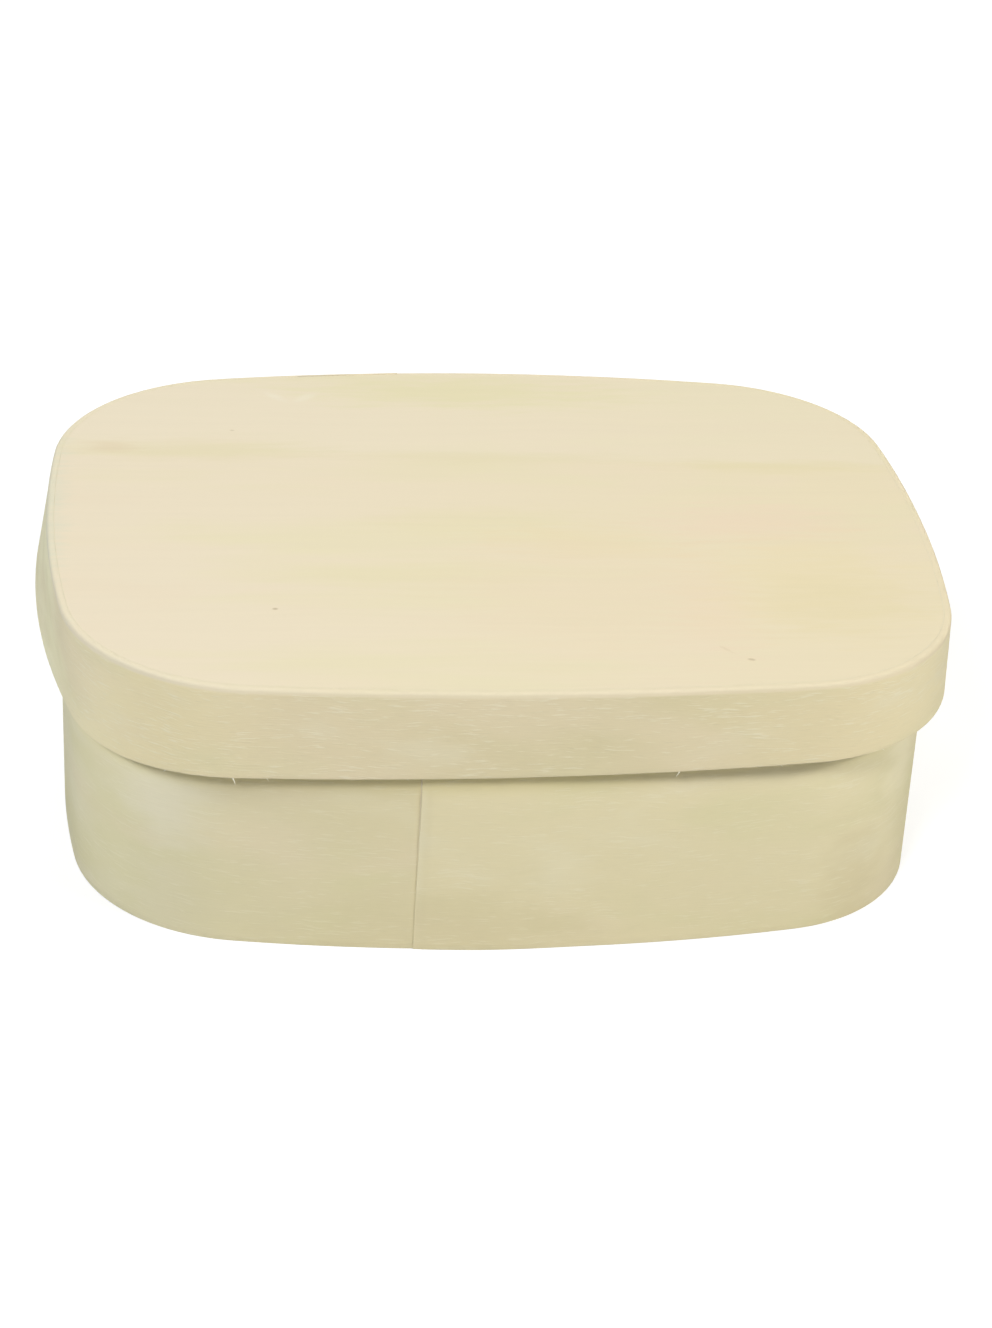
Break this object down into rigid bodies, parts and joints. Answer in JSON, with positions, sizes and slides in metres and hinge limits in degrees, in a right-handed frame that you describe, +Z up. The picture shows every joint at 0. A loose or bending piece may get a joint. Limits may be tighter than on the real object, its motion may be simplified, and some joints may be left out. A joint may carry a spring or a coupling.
{
  "type": "cheese box",
  "caption": "Low rounded-rectangle bentwood box with a lift-off lid: thin poplar strips bent round flat wooden discs, their ends lapped and glued.",
  "frame": {"origin": "middle of the box's length and width, on the surface that it stands on", "axes": "+X along the long side to the right as seen from the front, +Y to the back, +Z up through the lid; the lap of the base's strip faces -Y"},
  "size_m": [0.165, 0.1316, 0.053],
  "materials": {
    "poplar_board": "fine sanded, raw",
    "poplar_strip": "peeled, raw, fibrous",
    "wood_glue": "dried wood glue"
  },
  "bodies": {
    "base": {"base_disc": "poplar_board", "base_band": "poplar_strip", "base_lap_glue": "wood_glue", "base_disc_glue": "wood_glue"},
    "lid": {"lid_disc": "poplar_board", "lid_band": "poplar_strip", "lid_lap_glue": "wood_glue", "lid_disc_glue": "wood_glue"}
  },
  "joints": [
    {"name": "lid_lift", "type": "slide", "parent": "base", "child": "lid", "axis": [0, 0, 1], "range_m": [0, 0.08]}
  ]
}
